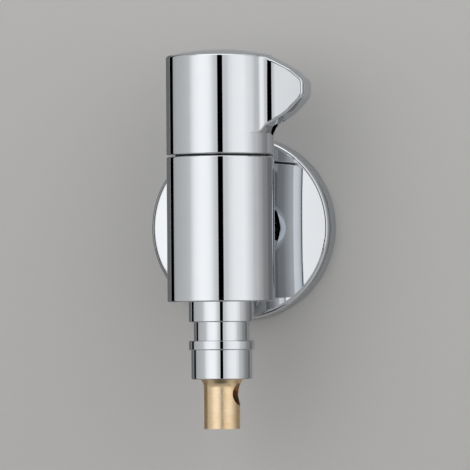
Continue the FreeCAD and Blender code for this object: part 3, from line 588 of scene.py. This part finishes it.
cartridge_finish = turned_brass("turned_cartridge_brass", 0.18 * mm)[0]
give_finish(["cartridge_housing", "spindle"], cartridge_finish)
give_finish(["housing_o_ring", "seat_seal", "spindle_o_ring_lower", "spindle_o_ring_upper"], rubber_finish)

ceramic_finish, tree, ceramic, place = surface_finish("lapped_ceramic")
sinter = grain(tree, place, 0.5 * mm, detail=6.0)
tone = two_tone(tree, spread(tree, sinter, 0.0, 1.0), ceramic_white, ceramic_cream)
link(tree, tone, ceramic.inputs["Base Color"])
link(tree, spread(tree, sinter, 0.08, 0.20), ceramic.inputs["Roughness"])
ceramic.inputs["Coat Weight"].default_value = 0.2
raise_surface(tree, sinter, ceramic, 0.002 * mm)
give_finish(["fixed_disc", "rotating_disc"], ceramic_finish)

give_finish(["glide_ring"], moulded_acetal("black_acetal", acetal_black, acetal_sheen))
give_finish(["thrust_washer"], moulded_acetal("white_acetal", acetal_white, acetal_shade))
ring_steel = drawn_steel("rolled_ring_steel", (1.0, 1.0, 0.1))
give_finish(["spindle_clip"], ring_steel)

# Handle
# A die-cast round with a beak, polished by hand and plated. A steel set screw under the beak holds it on the
# spindle's serration.
handle_finish = chrome_plate("chrome_on_handle")[0]
give_finish(["handle"], handle_finish)
give_finish(["handle_set_screw"], drawn_steel("set_screw_steel", (0.1, 1.0, 1.0)))

# Hose nipple
# Turned from brass bar and plated: a collar, a groove for the hose coupling's balls, a ring and a long nose.
# Inside it an open steel ring holds a perforated stop for the spring, and an O-ring seals it to the barrel.
nipple_finish = chrome_plate("chrome_on_nipple")[0]
give_finish(["nozzle"], nipple_finish)
give_finish(["nozzle_o_ring"], rubber_finish)
give_finish(["spring_retainer", "retaining_ring"], ring_steel)

# Stopper
# A bare brass plunger, turned and cross-drilled, with a rubber seal that a washer and a slotted screw hold
# on its head. A steel spring with closed and ground ends keeps it shut until the hose coupling lifts it.
# Radii between which the brass inside the plunger's bore is painted darker, as painted shade in the bore.
bore_shade_from, bore_shade_to = 3.95 * mm, 4.6 * mm
wire_width = 0.75 * mm
closed_turns = 0.9
coil_turns = 5.0
coil_steps = 32
ground_to = 0.3 * wire_width
coil_smooth_below = math.radians(40)

stem_finish, tree, metal, place, tone = turned_brass("turned_stem_brass", 0.22 * mm)
from_stem_axis = from_axis(tree, place, barrel_axis, (1.0, 1.0, 0.0))
# Painted shade: the plunger's bore is painted towards the dark brass tone inside, where shade falls in the hollow.
painted_bore_shade = spread(tree, from_stem_axis, 0.85, 0.0, bore_shade_from, bore_shade_to)
link(tree, two_tone(tree, painted_bore_shade, tone, brass_dark_and_bore_shade), metal.inputs["Base Color"])
give_finish(["stopper_stem"], stem_finish)
give_finish(["stopper_washer"], cartridge_finish)
give_finish(["stopper_seal"], rubber_finish)
wire_steel = drawn_steel("drawn_wire_steel", (1.0, 1.0, 1.0))
give_finish(["stopper_screw"], wire_steel)

spring_low, spring_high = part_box("stopper_spring")
coil_radius = (spring_high.x - spring_low.x - wire_width) / 2


def coil_level(turn):
    """The level of the wire's middle, with the last turn at each end closed against its neighbour."""
    low = spring_low.z + ground_to
    high = spring_high.z - ground_to
    if turn < closed_turns:
        return low + wire_width * turn
    if turn > coil_turns - closed_turns:
        return high - wire_width * (coil_turns - turn)
    low_end = low + wire_width * closed_turns
    high_end = high - wire_width * closed_turns
    return low_end + (high_end - low_end) * (turn - closed_turns) / (coil_turns - 2 * closed_turns)


coil = bpy.data.curves.new("coil_spring", "CURVE")
coil.dimensions = "3D"
coil.bevel_depth = wire_width / 2
coil.bevel_resolution = 3
coil.use_fill_caps = True
wire = coil.splines.new("POLY")
wire.points.add(int(coil_turns * coil_steps))
for count, point in enumerate(wire.points):
    turn = count / coil_steps
    bearing = math.radians(360) * turn
    across = Vector((math.cos(bearing), math.sin(bearing), 0.0)) * coil_radius
    point.co = (barrel_axis.x + across.x, barrel_axis.y + across.y, coil_level(turn), 1.0)
spring = bpy.data.objects.new("coil_spring", coil)
scene.collection.objects.link(spring)
pick(spring)
bpy.ops.object.convert(target="MESH")
for level, up in ((spring_low.z, -1.0), (spring_high.z, 1.0)):
    bpy.ops.object.mode_set(mode="EDIT")
    bpy.ops.mesh.select_all(action="SELECT")
    bpy.ops.mesh.bisect(
        plane_co=(0.0, 0.0, level), plane_no=(0.0, 0.0, up), use_fill=True, clear_outer=True,
        threshold=weld,
    )
    bpy.ops.object.mode_set(mode="OBJECT")
bpy.ops.object.mode_set(mode="EDIT")
bpy.ops.mesh.select_all(action="SELECT")
bpy.ops.mesh.remove_doubles(threshold=weld)
bpy.ops.mesh.normals_make_consistent(inside=False)
bpy.ops.object.mode_set(mode="OBJECT")
bpy.ops.object.shade_smooth_by_angle(angle=coil_smooth_below)
spring.data.materials.append(wire_steel)
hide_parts("stopper_spring")
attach(spring, "fixed")
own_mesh(spring)
